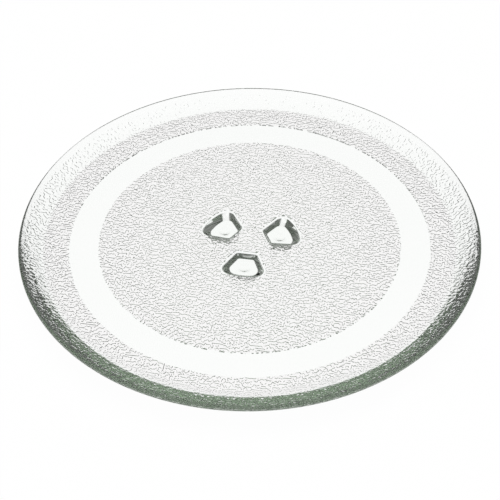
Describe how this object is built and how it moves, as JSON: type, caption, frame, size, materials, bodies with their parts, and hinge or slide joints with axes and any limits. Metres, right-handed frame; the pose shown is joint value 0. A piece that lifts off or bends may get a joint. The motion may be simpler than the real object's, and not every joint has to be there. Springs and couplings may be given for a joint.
{
  "type": "microwave turntable plate",
  "caption": "Round pressed-glass turntable plate: a shallow dish with a creased sloping lip, a smooth roller track in a stippled underside, and drive lugs round the centre.",
  "frame": {"origin": "On the plate's axis, in the plane of the pips that the lugs stand on", "axes": "+Z is the plate's axis, pointing up through the dish; one lug lies towards -Y, and the other two are 120 degrees either side of it"},
  "size_m": [0.245, 0.245, 0.0171],
  "materials": {
    "clear_glass": "clear pressed glass, faintly green, smooth on top and finely stippled below"
  },
  "bodies": {
    "root": {"turntable_plate": "clear_glass"}
  },
  "joints": []
}
